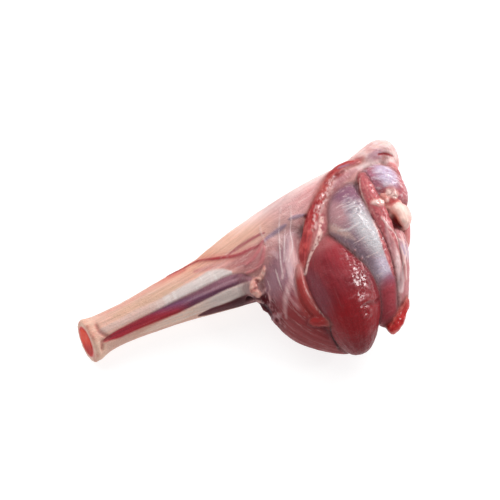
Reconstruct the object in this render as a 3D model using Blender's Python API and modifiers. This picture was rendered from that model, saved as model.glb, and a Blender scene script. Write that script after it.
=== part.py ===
"""Raw venison shank, bone in: the shin bone with the muscles of the lower leg round its knee end.

The shank lies on its side, as a butcher lays it down. The sawn end of the bone is at low X, the knee at
high X, the shin along +Y, the calf towards -Y, and +Z is up. Lengths are in millimetres until the end.
"""

import bmesh
import bpy
import numpy as np
from mathutils import Vector

MM = 0.001

# Driving dimensions, in millimetres.
SHAFT_START = -16.0  # the forms begin here, and the saw then trims them
SAW_X = 0.0  # where the saw cut crosses the shaft's axis
SAW_LEAN = 13.0  # degrees that the sawn face leans back from square
SHAFT_Z = 20.0  # height of the shaft's axis at the saw cut
GAP = 0.4  # clearance between meat, bone and marrow

MEAT_VOXEL = 2.2
BONE_VOXEL = 1.8
MEAT_TRIANGLES = 8600
BONE_TRIANGLES = 1500
SMOOTHING = 3

# A form's stations along its spine: x, y, z, half width across, half thickness.
# Blunt is how full its two ends are: 2 is an egg, more is a sausage, less is a spindle.
MUSCLES = {
    "shaft": dict(
        blunt=9.0,
        stations=[
            (SHAFT_START, 1.0, SHAFT_Z - 1.5, 22.5, 21.5),
            (4.0, 0.5, SHAFT_Z, 21.5, 21.0),
            (20.0, 0.5, 21.5, 19.5, 18.5),
            (50.0, -1.0, 23.5, 20.0, 18.0),
            (85.0, -4.0, 27.5, 23.5, 20.0),
            (125.0, -8.5, 32.5, 28.5, 23.5),
            (170.0, -14.0, 38.0, 35.0, 28.0),
            (215.0, -18.0, 43.0, 38.0, 32.0),
        ],
    ),
    "shin_muscle": dict(
        blunt=2.6,
        stations=[
            (92.0, 2.0, 34.0, 14.0, 14.0),
            (180.0, 3.0, 44.5, 24.0, 23.0),
            (260.0, 8.5, 49.5, 26.0, 27.0),
            (348.0, 19.0, 53.0, 21.0, 24.0),
        ],
    ),
    "outer_lobe": dict(
        blunt=2.4,
        stations=[
            (244.0, 26.0, 52.0, 24.0, 18.0),
            (219.0, -6.0, 47.0, 30.0, 24.0),
            (203.0, -46.0, 44.0, 32.0, 29.0),
            (200.0, -88.0, 40.0, 30.0, 33.0),
            (228.0, -138.0, 32.0, 24.0, 25.0),
        ],
    ),
    "knee_fat": dict(
        blunt=3.0,
        stations=[
            (298.0, 22.0, 57.0, 9.0, 11.0),
            (333.0, 25.0, 60.0, 12.0, 12.0),
            (354.0, 26.0, 57.0, 12.0, 15.0),
            (357.0, 4.0, 50.0, 9.0, 13.0),
        ],
    ),
    "deep_core": dict(
        blunt=2.6,
        stations=[
            (343.0, 8.0, 43.0, 27.0, 25.0),
            (300.0, -28.0, 38.5, 48.0, 36.0),
            (258.0, -72.0, 36.0, 50.0, 38.0),
            (236.0, -122.0, 33.0, 37.0, 32.0),
        ],
    ),
    "under_muscle": dict(
        blunt=2.6,
        stations=[
            (96.0, -8.0, 27.0, 15.0, 14.0),
            (180.0, -18.0, 30.0, 30.0, 26.0),
            (262.0, -30.0, 29.5, 42.0, 31.0),
            (338.0, -8.0, 40.0, 30.0, 27.0),
        ],
    ),
    "calf": dict(
        blunt=2.3,
        stations=[
            (250.0, -30.0, 66.0, 18.0, 16.0),
            (239.0, -66.0, 64.0, 31.0, 27.0),
            (235.0, -102.0, 58.0, 34.0, 35.0),
            (226.0, -146.0, 36.0, 27.5, 28.0),
        ],
    ),
    "silver_muscle": dict(
        blunt=2.8,
        stations=[
            (303.0, 11.0, 63.0, 18.0, 14.0),
            (286.0, -10.0, 64.0, 25.0, 19.0),
            (278.0, -36.0, 66.0, 25.0, 20.0),
            (279.0, -64.0, 64.0, 23.0, 21.0),
            (276.0, -94.0, 55.0, 21.0, 22.0),
            (264.0, -136.0, 38.0, 22.0, 19.0),
        ],
    ),
    "cut_strip": dict(
        blunt=4.0,
        stations=[
            (317.0, 9.0, 72.0, 6.0, 5.0),
            (311.0, -14.0, 75.0, 8.0, 6.0),
            (308.0, -40.0, 74.0, 9.0, 6.5),
            (302.5, -68.0, 71.0, 7.5, 8.0),
            (295.5, -93.0, 64.0, 7.0, 8.0),
            (286.0, -112.0, 56.0, 6.0, 8.0),
        ],
    ),
    "side_muscle": dict(
        blunt=2.6,
        stations=[
            (320.0, -49.0, 54.0, 12.0, 17.0),
            (307.0, -76.0, 52.0, 13.0, 20.0),
            (293.0, -101.0, 47.0, 13.0, 20.0),
            (276.0, -132.0, 40.0, 13.0, 17.0),
        ],
    ),
    "knee_muscle": dict(
        blunt=2.6,
        stations=[
            (316.0, 14.0, 60.0, 12.0, 12.0),
            (332.0, -8.0, 60.0, 20.0, 19.0),
            (338.0, -40.0, 52.0, 15.0, 17.0),
        ],
    ),
    "knee_edge": dict(
        blunt=3.0,
        stations=[
            (347.0, 18.0, 52.0, 8.0, 14.0),
            (344.0, -10.0, 50.0, 8.0, 18.0),
            (335.0, -42.0, 46.0, 8.0, 18.0),
            (321.0, -74.0, 44.0, 8.0, 14.0),
        ],
    ),
    "cut_rim": dict(
        blunt=5.0,
        stations=[
            (330.0, 21.0, 66.0, 5.0, 4.5),
            (308.0, 24.0, 68.0, 6.0, 5.5),
            (288.0, 19.0, 70.0, 6.5, 6.0),
            (270.0, 7.0, 72.0, 6.5, 6.0),
            (253.0, -7.0, 73.0, 6.0, 6.0),
            (238.0, -22.0, 73.0, 6.0, 6.0),
            (224.0, -39.0, 71.0, 5.5, 5.5),
            (214.0, -56.0, 68.0, 4.5, 5.0),
        ],
    ),
    "rim_bed": dict(
        blunt=3.0,
        stations=[
            (316.0, 16.0, 66.0, 10.0, 6.0),
            (297.0, 12.0, 68.0, 10.0, 7.0),
            (277.0, -3.0, 70.0, 10.0, 7.0),
            (260.0, -17.0, 70.0, 9.0, 7.0),
            (243.0, -31.0, 71.0, 8.0, 6.5),
            (224.0, -50.0, 70.0, 7.0, 5.5),
        ],
    ),
    "lobe_rim": dict(
        blunt=4.0,
        stations=[
            (212.0, -48.0, 71.0, 3.5, 4.0),
            (205.0, -64.0, 73.0, 5.0, 4.5),
            (202.0, -78.0, 73.0, 5.5, 5.0),
            (202.0, -93.0, 71.0, 5.5, 5.0),
            (208.0, -109.0, 66.0, 5.0, 5.0),
        ],
    ),
    "small_flap": dict(
        blunt=3.0,
        stations=[
            (191.0, -99.0, 65.0, 4.0, 4.5),
            (202.0, -105.0, 68.0, 5.0, 5.0),
            (213.0, -112.0, 67.0, 4.5, 5.0),
        ],
    ),
    "trim_strip": dict(
        blunt=7.0,
        stations=[
            (291.0, -120.0, 50.0, 5.0, 5.5),
            (280.0, -130.0, 48.0, 6.0, 6.0),
            (268.0, -138.0, 45.0, 6.5, 6.5),
            (260.0, -140.0, 42.0, 6.0, 6.0),
        ],
    ),
    "junction_fat": dict(
        blunt=3.0,
        stations=[
            (164.0, -30.0, 60.0, 5.0, 5.0),
            (168.0, -46.0, 51.0, 7.5, 7.5),
            (176.0, -66.0, 33.0, 9.0, 10.0),
        ],
    ),
}

BONE = {
    "bone_shaft": dict(
        blunt=9.0,
        stations=[
            (SHAFT_START, 1.0, SHAFT_Z, 17.5, 17.0),
            (8.0, 0.5, SHAFT_Z, 16.5, 16.5),
            (40.0, 1.0, 23.0, 13.0, 12.5),
            (120.0, 1.0, 32.0, 12.0, 11.5),
            (220.0, 1.0, 43.0, 14.0, 13.0),
            (325.0, 0.0, 52.0, 20.0, 18.0),
        ],
    ),
    "knee_head": dict(
        blunt=2.8,
        stations=[
            (330.0, 22.0, 52.0, 14.0, 17.0),
            (328.0, -10.0, 54.0, 18.0, 20.0),
            (328.0, -48.0, 56.0, 13.0, 18.0),
        ],
    ),
    "condyle": dict(
        blunt=2.0,
        stations=[
            (328.0, -33.0, 57.0, 11.0, 13.0),
            (328.0, -47.0, 62.0, 12.0, 13.5),
            (326.0, -61.0, 57.0, 11.0, 13.0),
        ],
    ),
}

MARROW = {
    "marrow": dict(
        blunt=9.0,
        stations=[
            (SHAFT_START, 1.0, SHAFT_Z, 14.5, 14.0),
            (8.0, 0.5, SHAFT_Z, 13.5, 13.5),
            (40.0, 1.0, 23.0, 9.5, 9.0),
            (120.0, 1.0, 32.0, 8.5, 8.0),
            (300.0, 1.0, 50.0, 9.5, 9.0),
        ],
    ),
}


def clear_scene():
    """Empties the file that the script runs in."""
    for thing in list(bpy.data.objects):
        bpy.data.objects.remove(thing)


def new_collection(name):
    collection = bpy.data.collections.new(name)
    bpy.context.scene.collection.children.link(collection)
    return collection


def along(stations, share):
    """The stations' values at shares 0 to 1 of the way along, on a smooth Catmull-Rom line."""
    rows = np.array(stations, float)
    rows = np.vstack([2 * rows[0] - rows[1], rows, 2 * rows[-1] - rows[-2]])
    place = np.clip(share, 0.0, 1.0) * (len(stations) - 1)
    first = np.minimum(place.astype(int), len(stations) - 2)
    f = (place - first)[:, None]
    before, here, there, after = (rows[first + k] for k in range(4))
    return 0.5 * (
        2 * here
        + (there - before) * f
        + (2 * before - 5 * here + 4 * there - after) * f**2
        + (3 * here - before - 3 * there + after) * f**3
    )


def form_mesh(form, around=32, rings=24):
    """A closed muscle or bone form: a sphere drawn out along the spine of its stations."""
    bm = bmesh.new()
    bmesh.ops.create_uvsphere(bm, u_segments=around, v_segments=rings, radius=1.0)
    ball = np.array([v.co for v in bm.verts])
    height = np.clip(ball[:, 2], -1.0, 1.0)
    share = (height + 1) / 2
    rows = along(form["stations"], share)
    step = along(form["stations"], share + 0.01) - along(form["stations"], share - 0.01)
    tangent = step[:, :3] / np.linalg.norm(step[:, :3], axis=1)[:, None]
    side = np.cross(tangent, (0.0, 0.0, 1.0))
    side /= np.linalg.norm(side, axis=1)[:, None]
    top = np.cross(side, tangent)
    ring = np.maximum(np.hypot(ball[:, 0], ball[:, 1]), 1e-9)
    full = (1 - np.abs(height) ** form["blunt"]) ** (1 / form["blunt"])
    swell = np.where(ring > 1e-6, full / ring, 0.0)[:, None]
    places = (
        rows[:, :3]
        + side * (ball[:, :1] * swell) * rows[:, 3:4]
        + top * (ball[:, 1:2] * swell) * rows[:, 4:5]
    )
    for vertex, place in zip(bm.verts, places):
        vertex.co = Vector(place) * MM
    bmesh.ops.recalc_face_normals(bm, faces=bm.faces)
    mesh = bpy.data.meshes.new("form")
    bm.to_mesh(mesh)
    bm.free()
    return mesh


def grown_together(name, forms, collection, voxel, triangles):
    """One object from many forms: they are laid in one mesh, and remeshing fuses their outer surface."""
    bm = bmesh.new()
    for form in forms.values():
        mesh = form_mesh(form)
        bm.from_mesh(mesh)
        bpy.data.meshes.remove(mesh)
    mesh = bpy.data.meshes.new(name)
    bm.to_mesh(mesh)
    bm.free()
    body = bpy.data.objects.new(name, mesh)
    collection.objects.link(body)
    fuse = body.modifiers.new("fuse", "REMESH")
    fuse.mode = "VOXEL"
    fuse.voxel_size = voxel * MM
    soften = body.modifiers.new("soften", "SMOOTH")
    soften.iterations = SMOOTHING
    soften.factor = 0.5
    thin = body.modifiers.new("thin", "DECIMATE")
    thin.ratio = share_kept(body, triangles)
    return settled(body, collection)


def share_kept(body, triangles):
    """The share of its triangles that a body keeps, so that about the wanted number is left."""
    body.modifiers["thin"].ratio = 1.0
    bpy.context.view_layer.update()
    graph = bpy.context.evaluated_depsgraph_get()
    made = body.evaluated_get(graph).to_mesh()
    made.calc_loop_triangles()
    share = triangles / len(made.loop_triangles)
    body.evaluated_get(graph).to_mesh_clear()
    return min(1.0, share)


def settled(body, collection):
    """The object again with its modifiers applied."""
    bpy.context.view_layer.update()
    graph = bpy.context.evaluated_depsgraph_get()
    mesh = bpy.data.meshes.new_from_object(body.evaluated_get(graph))
    name = body.name
    bpy.data.objects.remove(body)
    done = bpy.data.objects.new(name, mesh)
    collection.objects.link(done)
    return done


def cutter_box(name, collection, size, centre, lean=0.0):
    """A box cutter, its size and centre in millimetres, leaning about Y."""
    bm = bmesh.new()
    bmesh.ops.create_cube(bm, size=1.0)
    bmesh.ops.scale(bm, verts=bm.verts, vec=Vector(size) * MM)
    mesh = bpy.data.meshes.new(name)
    bm.to_mesh(mesh)
    bm.free()
    box = bpy.data.objects.new(name, mesh)
    box.location = Vector(centre) * MM
    box.rotation_euler.y = np.radians(lean)
    collection.objects.link(box)
    return as_cutter(box)


def swollen(name, body, collection, by):
    """A copy of a body grown by a clearance all round, to cut the hollow that the body lies in."""
    copy = bpy.data.objects.new(name, body.data.copy())
    collection.objects.link(copy)
    grow = copy.modifiers.new("clearance", "DISPLACE")
    grow.mid_level = 0.0
    grow.strength = by * MM
    return as_cutter(settled(copy, collection))


def as_cutter(thing):
    thing.hide_render = True
    thing.display_type = "WIRE"
    return thing


def cut(body, cutter):
    bite = body.modifiers.new(cutter.name, "BOOLEAN")
    bite.operation = "DIFFERENCE"
    bite.solver = "EXACT"
    bite.object = cutter


def finish_of(name, colour, roughness):
    material = bpy.data.materials.new(name)
    material.use_nodes = True
    shader = material.node_tree.nodes["Principled BSDF"]
    shader.inputs["Base Color"].default_value = (*colour, 1.0)
    shader.inputs["Roughness"].default_value = roughness
    shader.inputs["Metallic"].default_value = 0.0
    return material


def stand_on_origin(frame, bodies):
    """Moves the shank so that the middle of its base is the origin."""
    bpy.context.view_layer.update()
    graph = bpy.context.evaluated_depsgraph_get()
    corners = []
    for body in bodies:
        mesh = body.evaluated_get(graph).to_mesh()
        places = np.array([v.co for v in mesh.vertices])
        corners += [places.min(axis=0), places.max(axis=0)]
        body.evaluated_get(graph).to_mesh_clear()
    low, high = np.min(corners, axis=0), np.max(corners, axis=0)
    frame.location = (-(low[0] + high[0]) / 2, -(low[1] + high[1]) / 2, -low[2])


def main():
    clear_scene()
    parts = new_collection("venison_shank")
    tools = new_collection("cutters")
    tools.hide_render = True

    meat = grown_together("meat", MUSCLES, parts, MEAT_VOXEL, MEAT_TRIANGLES)
    bone = grown_together("bone", BONE, parts, BONE_VOXEL, BONE_TRIANGLES)
    marrow = grown_together("marrow", MARROW, parts, BONE_VOXEL, BONE_TRIANGLES // 3)

    floor = cutter_box("floor", tools, (500, 400, 60), (180, -50, -30))
    saw = cutter_box("saw", tools, (60, 90, 120), (SAW_X - 30, 0, SHAFT_Z), SAW_LEAN)
    socket = swollen("socket", bone, tools, GAP)
    bore = swollen("bore", marrow, tools, GAP)

    cut(meat, floor)
    cut(meat, socket)
    cut(meat, saw)
    cut(bone, bore)
    cut(bone, saw)
    cut(marrow, saw)

    meat.data.materials.append(finish_of("raw_meat", (0.42, 0.17, 0.16), 0.35))
    bone.data.materials.append(finish_of("bone", (0.83, 0.56, 0.50), 0.40))
    marrow.data.materials.append(finish_of("marrow", (0.60, 0.10, 0.06), 0.40))

    frame = bpy.data.objects.new("shank_frame", None)
    parts.objects.link(frame)
    for thing in (meat, bone, marrow, floor, saw, socket, bore):
        thing.parent = frame
    stand_on_origin(frame, (meat, bone))


main()
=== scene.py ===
# %% [markdown]
# # Raw venison shank
# A shank is the lower leg of a deer, cut with its bone in. A slim shaft of bone and sinew runs from a sawn
# end to the knee, where the leg's muscles bulge out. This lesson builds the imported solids' forms again with
# finer faces, gives them the relief of raw meat and paints them. Lengths are millimetres in the forms' frame.

import math
from types import SimpleNamespace

import bmesh
import bpy
import numpy as np
from mathutils import Matrix, Vector
from mathutils.bvhtree import BVHTree


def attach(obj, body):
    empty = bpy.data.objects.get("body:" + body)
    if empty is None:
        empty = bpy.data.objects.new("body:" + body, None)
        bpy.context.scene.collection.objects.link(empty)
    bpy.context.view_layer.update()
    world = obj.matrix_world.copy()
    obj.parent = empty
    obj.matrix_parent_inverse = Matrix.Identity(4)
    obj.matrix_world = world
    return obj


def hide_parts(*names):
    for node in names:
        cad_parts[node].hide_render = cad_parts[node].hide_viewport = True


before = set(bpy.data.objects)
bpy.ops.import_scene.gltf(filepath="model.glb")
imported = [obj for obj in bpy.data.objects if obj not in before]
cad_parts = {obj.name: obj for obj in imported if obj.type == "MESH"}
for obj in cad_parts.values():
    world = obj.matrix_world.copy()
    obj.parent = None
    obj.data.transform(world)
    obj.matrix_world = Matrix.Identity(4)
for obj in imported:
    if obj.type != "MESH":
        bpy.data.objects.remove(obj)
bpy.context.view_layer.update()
print("packed nodes:", sorted(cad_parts))

# %% [markdown]
# The forms are laid out from the middle of the saw cut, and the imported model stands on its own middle. One
# move and one scale carry every finished mesh from the first frame to the second.

# %% Frame and sizes
MM = 0.001
FROM_SAW_TO_MIDDLE = np.array([-181.303, 54.218, 0.0])
TO_MODEL = Matrix.Scale(MM, 4) @ Matrix.Translation(FROM_SAW_TO_MIDDLE.tolist())

SHAFT_START = -16.0
SHAFT_Z = 20.0
SAW_LEAN = math.radians(13.0)
SAW_NORMAL = np.array([math.cos(SAW_LEAN), 0.0, -math.sin(SAW_LEAN)])
SAW_POINT = np.array([-30.0, 0.0, SHAFT_Z]) + 30.0 * SAW_NORMAL
print("saw plane through", SAW_POINT.round(1))

# %% [markdown]
# Each muscle is a form drawn out along a spine. A station gives a point of the spine and how far the form
# reaches across it and up from it. Blunt says how full the ends are: 2 is an egg, more is a sausage. The
# first group grows together under the silvery sheath of the leg.

# %% Forms under the sheath
def form(blunt, *stations):
    return dict(blunt=blunt, stations=stations)


SHEATHED = {
    "shaft": form(
        9, (SHAFT_START, 1, SHAFT_Z - 1.5, 22.5, 21.5), (4, 0.5, SHAFT_Z, 21.5, 21),
        (20, 0.5, 21.5, 19.5, 18.5), (50, -1, 23.5, 20, 18), (85, -4, 27.5, 23.5, 20),
        (125, -8.5, 32.5, 28.5, 23.5), (170, -14, 38, 35, 28), (215, -18, 43, 38, 32),
    ),
    "shin_muscle": form(
        2.6, (92, 2, 34, 14, 14), (180, 3, 44.5, 24, 23), (260, 8.5, 49.5, 26, 27), (348, 19, 53, 21, 24),
    ),
    "outer_lobe": form(
        2.4, (244, 26, 52, 24, 18), (219, -6, 47, 30, 24), (203, -46, 44, 32, 29), (200, -88, 40, 30, 33),
        (228, -138, 32, 24, 25),
    ),
    "knee_fat": form(
        3, (298, 22, 57, 9, 11), (333, 25, 60, 12, 12), (354, 26, 57, 12, 15), (357, 4, 50, 9, 13),
    ),
    "deep_core": form(
        2.6, (343, 8, 43, 27, 25), (300, -28, 38.5, 48, 36), (258, -72, 36, 50, 38),
        (236, -122, 33, 37, 32),
    ),
    "under_muscle": form(
        2.6, (96, -8, 27, 15, 14), (180, -18, 30, 30, 26), (262, -30, 29.5, 42, 31), (338, -8, 40, 30, 27),
    ),
    "knee_edge": form(
        3, (352, 20, 54, 8, 14), (348, -8, 51, 8, 18), (335, -42, 46, 8, 18), (321, -74, 44, 8, 14),
    ),
    "junction_fat": form(3, (164, -30, 60, 5, 5), (168, -46, 51, 7.5, 7.5), (176, -66, 33, 9, 10)),
}
print(len(SHEATHED), "forms under the sheath")

# %% [markdown]
# The second group shows as separate muscles, strips and cut edges, where the knife has opened the sheath.
# Each keeps its own fibre direction and colour.

# %% Forms with their own edges
OPEN_MUSCLES = {
    "calf": form(
        2.3, (250, -30, 66, 18, 16), (239, -66, 64, 31, 27), (235, -102, 58, 34, 35),
        (226, -146, 36, 27.5, 28),
    ),
    "silver_muscle": form(
        2.8, (303, 11, 63, 18, 14), (286, -10, 64, 25, 19), (278, -36, 66, 25, 20), (279, -64, 64, 23, 21),
        (276, -94, 55, 21, 22), (264, -136, 38, 22, 19),
    ),
    "cut_strip": form(
        4, (317, 9, 72, 6, 5), (311, -14, 75, 8, 6), (308, -40, 74, 9, 6.5), (302.5, -68, 71, 7.5, 8),
        (295.5, -93, 64, 7, 8), (286, -112, 56, 6, 8),
    ),
    "side_muscle": form(
        2.6, (320, -49, 54, 12, 17), (307, -76, 52, 13, 20), (293, -101, 47, 13, 20),
        (276, -132, 40, 13, 17),
    ),
    "knee_muscle": form(2.6, (316, 14, 60, 12, 12), (332, -8, 60, 20, 19), (338, -40, 52, 15, 17)),
    "cut_rim": form(
        5, (330, 21, 66, 5, 4.5), (308, 24, 68, 6, 5.5), (288, 19, 70, 6.5, 6), (270, 7, 72, 6.5, 6),
        (253, -7, 73, 6, 6), (238, -22, 73, 6, 6), (224, -39, 71, 5.5, 5.5), (214, -56, 68, 4.5, 5),
    ),
    "rim_bed": form(
        3, (316, 16, 66, 10, 6), (297, 12, 68, 10, 7), (277, -3, 70, 10, 7), (260, -17, 70, 9, 7),
        (243, -31, 71, 8, 6.5), (224, -50, 70, 7, 5.5),
    ),
    "lobe_rim": form(
        4, (212, -48, 71, 3.5, 4), (205, -64, 73, 5, 4.5), (202, -78, 73, 5.5, 5), (202, -93, 71, 5.5, 5),
        (208, -109, 66, 5, 5),
    ),
    "small_flap": form(
        3, (192.5, -102.5, 65, 4, 4.5), (203.5, -108.5, 68, 5, 5), (215, -115.5, 67, 4.5, 5),
    ),
    "trim_strip": form(
        7, (291, -120, 50, 5, 5.5), (280, -130, 48, 6, 6), (268, -138, 45, 6.5, 6.5),
        (260, -140, 42, 6, 6),
    ),
}
print(len(OPEN_MUSCLES), "open muscles")

# %% [markdown]
# The bone runs the whole length, from a pale ring at the sawn end to a knob at the knee. Its core is filled
# with red marrow.

# %% Forms of the bone and the marrow
BONE = {
    "bone_shaft": form(
        9, (SHAFT_START, 1, SHAFT_Z, 17.5, 17), (8, 0.5, SHAFT_Z, 16.5, 16.5), (40, 1, 23, 13, 12.5),
        (120, 1, 32, 12, 11.5), (220, 1, 43, 14, 13), (325, 0, 52, 20, 18),
    ),
    "knee_head": form(2.8, (330, 22, 52, 14, 17), (328, -10, 54, 18, 20), (328, -48, 56, 13, 18)),
    "condyle": form(2, (328, -33, 57, 11, 13), (328, -47, 62, 12, 13.5), (326, -61, 57, 11, 13)),
}
MARROW = {
    "marrow": form(
        9, (SHAFT_START, 1, SHAFT_Z, 14.5, 14), (8, 0.5, SHAFT_Z, 13.5, 13.5), (40, 1, 23, 9.5, 9),
        (120, 1, 32, 8.5, 8), (300, 1, 50, 9.5, 9),
    ),
}
print(len(BONE), "forms of bone and", len(MARROW), "of marrow")

# %% [markdown]
# A smooth line through the stations comes from the Catmull-Rom rule, which passes through every station.

# %% Values between stations
def along(stations, share):
    """The stations' values at shares 0 to 1 of the way along."""
    rows = np.array(stations, float)
    rows = np.vstack([2 * rows[0] - rows[1], rows, 2 * rows[-1] - rows[-2]])
    place = np.clip(share, 0.0, 1.0) * (len(stations) - 1)
    first = np.minimum(place.astype(int), len(stations) - 2)
    f = (place - first)[:, None]
    before, here, there, after = (rows[first + k] for k in range(4))
    return 0.5 * (
        2 * here
        + (there - before) * f
        + (2 * before - 5 * here + 4 * there - after) * f**2
        + (3 * here - before - 3 * there + after) * f**3
    )


def spine_frame(form, share):
    """Points, directions and reaches of a form's spine."""
    rows = along(form["stations"], share)
    step = along(form["stations"], share + 0.01) - along(form["stations"], share - 0.01)
    tangent = step[:, :3] / np.linalg.norm(step[:, :3], axis=1)[:, None]
    side = np.cross(tangent, (0.0, 0.0, 1.0))
    side /= np.linalg.norm(side, axis=1)[:, None]
    return rows, tangent, side, np.cross(side, tangent)


print("middle of the shaft:", along(SHEATHED["shaft"]["stations"], np.array([0.5])).round(1))

# %% [markdown]
# A ball from the sphere operator is drawn out along the spine: its height becomes the way along, and its
# rings take the form's width and thickness there.

# %% Draw a ball out along a spine
def draw_out(bm, form):
    """Adds a closed form to a bmesh."""
    made = bmesh.ops.create_uvsphere(bm, u_segments=48, v_segments=40, radius=1.0)["verts"]
    ball = np.array([v.co for v in made])
    height = np.clip(ball[:, 2], -1.0, 1.0)
    rows, tangent, side, top = spine_frame(form, (height + 1) / 2)
    ring = np.maximum(np.hypot(ball[:, 0], ball[:, 1]), 1e-9)
    full = (1 - np.abs(height) ** form["blunt"]) ** (1 / form["blunt"])
    swell = np.where(ring > 1e-6, full / ring, 0.0)[:, None]
    spots = (
        rows[:, :3]
        + side * (ball[:, :1] * swell) * rows[:, 3:4]
        + top * (ball[:, 1:2] * swell) * rows[:, 4:5]
    )
    for vertex, spot in zip(made, spots):
        vertex.co = Vector(spot)


sample = bmesh.new()
draw_out(sample, MARROW["marrow"])
print("one form has", len(sample.faces), "faces before Remesh")
sample.free()

# %% [markdown]
# Forms that grow together are laid in one mesh. Remesh wraps their outer surface in even little squares, and
# Smooth rounds the creases, as the sheath does on the leg.

# %% Grow forms together
def placed(name, data):
    """A new object in the scene."""
    made = bpy.data.objects.new(name, data)
    bpy.context.scene.collection.objects.link(made)
    return made


def remeshed(piece, voxel, smooth):
    """The piece wrapped in squares of the voxel's size, smoothed, with both modifiers applied."""
    wrap = piece.modifiers.new("wrap", "REMESH")
    wrap.mode = "VOXEL"
    wrap.voxel_size = voxel
    soften = piece.modifiers.new("soften", "SMOOTH")
    soften.iterations = smooth
    soften.factor = 0.5
    bpy.context.view_layer.update()
    graph = bpy.context.evaluated_depsgraph_get()
    mesh = bpy.data.meshes.new_from_object(piece.evaluated_get(graph))
    old = piece.data
    piece.modifiers.clear()
    piece.data = mesh
    bpy.data.meshes.remove(old)
    return piece


def grown_together(name, forms, voxel, smooth=3):
    """One piece from many forms, in millimetres."""
    bm = bmesh.new()
    for one in forms.values():
        draw_out(bm, one)
    bmesh.ops.recalc_face_normals(bm, faces=bm.faces)
    mesh = bpy.data.meshes.new(name)
    bm.to_mesh(mesh)
    bm.free()
    return remeshed(placed(name, mesh), voxel, smooth)


def sawn(piece, proud, voxel, smooth):
    """Cuts a piece by the saw's plane, a little proud of it, and wraps it again."""
    bm = bmesh.new()
    bm.from_mesh(piece.data)
    cut = bmesh.ops.bisect_plane(
        bm,
        geom=[*bm.verts, *bm.edges, *bm.faces],
        plane_co=Vector(SAW_POINT - proud * SAW_NORMAL),
        plane_no=Vector(SAW_NORMAL),
        clear_inner=True,
    )
    edges = [part for part in cut["geom_cut"] if isinstance(part, bmesh.types.BMEdge)]
    bmesh.ops.holes_fill(bm, edges=edges)
    bmesh.ops.triangulate(bm, faces=[f for f in bm.faces if len(f.verts) > 4])
    bm.to_mesh(piece.data)
    bm.free()
    return remeshed(piece, voxel, smooth)


print("the saw leans", round(math.degrees(SAW_LEAN)), "degrees")

# %% [markdown]
# Everything but the bone and the marrow is one skin, because the real muscles press against each other in
# tight creases that are filled with film.

# %% Build the skin, the bone and the marrow
SKIN_VOXEL, BONE_VOXEL, MARROW_VOXEL = 1.25, 1.2, 0.9
skin = grown_together("meat_skin", {**SHEATHED, **OPEN_MUSCLES}, voxel=1.6, smooth=2)
skin = sawn(skin, proud=0.0, voxel=SKIN_VOXEL, smooth=2)
shin_bone = sawn(grown_together("shin_bone", BONE, voxel=1.5), proud=0.5, voxel=BONE_VOXEL, smooth=1)
marrow_core = grown_together("marrow_core", MARROW, voxel=1.2)
marrow_core = sawn(marrow_core, proud=0.8, voxel=MARROW_VOXEL, smooth=1)
for piece in (skin, shin_bone, marrow_core):
    print(piece.name, len(piece.data.polygons), "faces")

# %% [markdown]
# Meat is never even. Its random values must be the same in every run, so each corner of a grid of cells
# gets a number from its own position, and the values between are blended.

# %% Steady random values
def grain(points, seed):
    """Soft random values from -1 to 1, one for each point."""
    cell = np.floor(points).astype(np.int64)
    f = points - cell
    f = f * f * (3 - 2 * f)
    total = np.zeros(len(points))
    for corner in np.ndindex(2, 2, 2):
        c = cell + corner
        key = c[:, 0] * 73856093 ^ c[:, 1] * 19349663 ^ c[:, 2] * 83492791 ^ seed * 2654435
        key = (key ^ (key >> 13)) * 1274126177 & 0x7FFFFFFF
        value = ((key ^ (key >> 15)) & 0xFFFF) / 32767.5 - 1.0
        weight = np.prod(np.where(corner, f, 1 - f), axis=1)
        total += value * weight
    return total


def cloudy(points, size, seed):
    """Random values in three sizes at once, the coarsest of them the given size in millimetres."""
    return sum(grain(points / size * 2**k, seed + k) * 0.5**k for k in range(3)) / 1.5


def spots_of(piece, what="co"):
    """The vertices' places, or another value with three numbers."""
    flat = np.empty(len(piece.data.vertices) * 3)
    piece.data.vertices.foreach_get(what, flat)
    return flat.reshape(-1, 3)


def pushed_out(piece, amount):
    """Moves each vertex along its normal by its own amount, but not below the table."""
    moved = spots_of(piece) + spots_of(piece, "normal") * amount[:, None]
    moved[:, 2] = np.maximum(moved[:, 2], 0.0)
    piece.data.vertices.foreach_set("co", moved.ravel())
    piece.data.update()


print("steady values:", cloudy(np.array([[1.0, 2.0, 3.0], [40.0, 5.0, 9.0]]), 7.0, 0).round(3))

# %% [markdown]
# Fibres and sinew run along the forms. Each vertex therefore learns how far along its form's spine it lies,
# and where round it. The way round is kept as a circle, so the pattern has no seam.

# %% Where each vertex lies on a form
FAR = 60.0


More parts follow.
